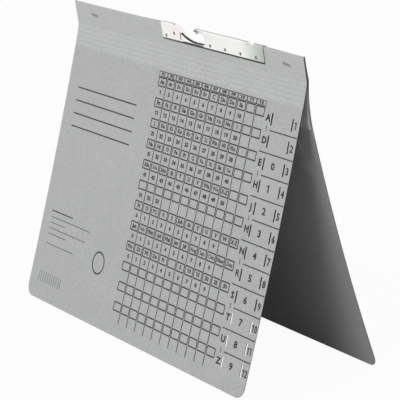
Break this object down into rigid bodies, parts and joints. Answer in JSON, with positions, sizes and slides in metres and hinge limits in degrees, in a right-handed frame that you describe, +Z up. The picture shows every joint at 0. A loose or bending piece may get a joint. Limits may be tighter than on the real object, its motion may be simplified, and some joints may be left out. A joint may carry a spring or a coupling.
{
  "type": "hanging file folder",
  "caption": "Hanging file folder of grey board with a hook plate on its fold, scored opening front cover, tab slits, and a filing strip with a paper fastener inside.",
  "frame": {"origin": "middle of the footprint, on the floor under the fold, with the folder standing open like a tent", "axes": "+X along the fold towards the tab slits, -Y towards the front cover, +Z up"},
  "size_m": [0.318, 0.1158, 0.2329],
  "materials": {
    "grey_board": "matte solid grey board of recycled fibre",
    "plated_steel": "bright plated sheet steel",
    "staple_wire": "dull drawn wire",
    "strip_board": "matte solid board, a little lighter than the covers",
    "fastener_steel": "plated sheet steel"
  },
  "bodies": {
    "band": {"top_band": "grey_board", "hook_plate": "plated_steel", "left_staple": "staple_wire", "right_staple": "staple_wire"},
    "first_strip": {"front_strip_1": "grey_board"},
    "second_strip": {"front_strip_2": "grey_board"},
    "third_strip": {"front_strip_3": "grey_board"},
    "fourth_strip": {"front_strip_4": "grey_board"},
    "front": {"front_cover": "grey_board"},
    "back": {"back_cover": "grey_board", "filing_strip": "strip_board", "prong_strip": "fastener_steel", "cover_bar": "fastener_steel"},
    "left_slider": {"left_lock": "fastener_steel"},
    "right_slider": {"right_lock": "fastener_steel"}
  },
  "joints": [
    {"name": "front_crease", "type": "hinge", "parent": "band", "child": "first_strip", "pos_m": [0, 0.00099, 0.2139], "axis": [-1, 0, 0], "range_deg": [0, 40]},
    {"name": "score_line_1", "type": "hinge", "parent": "first_strip", "child": "second_strip", "pos_m": [0, 0.00048, 0.21094], "axis": [-1, 0, 0], "range_deg": [-3, 27.5]},
    {"name": "score_line_2", "type": "hinge", "parent": "second_strip", "child": "third_strip", "pos_m": [0, -0.00017, 0.2075], "axis": [-1, 0, 0], "range_deg": [-3, 27.5]},
    {"name": "score_line_3", "type": "hinge", "parent": "third_strip", "child": "fourth_strip", "pos_m": [0, -0.0009, 0.20408], "axis": [-1, 0, 0], "range_deg": [-3, 27.5]},
    {"name": "score_line_4", "type": "hinge", "parent": "fourth_strip", "child": "front", "pos_m": [0, -0.00169, 0.20067], "axis": [-1, 0, 0], "range_deg": [-3, 27.5]},
    {"name": "back_crease", "type": "hinge", "parent": "band", "child": "back", "pos_m": [0, 0.00228, 0.21407], "axis": [1, 0, 0], "range_deg": [0, 60]},
    {"name": "left_lock_slide", "type": "slide", "parent": "back", "child": "left_slider", "axis": [1, 0, 0], "range_m": [0, 0.012]},
    {"name": "right_lock_slide", "type": "slide", "parent": "back", "child": "right_slider", "axis": [-1, 0, 0], "range_m": [0, 0.012]}
  ]
}
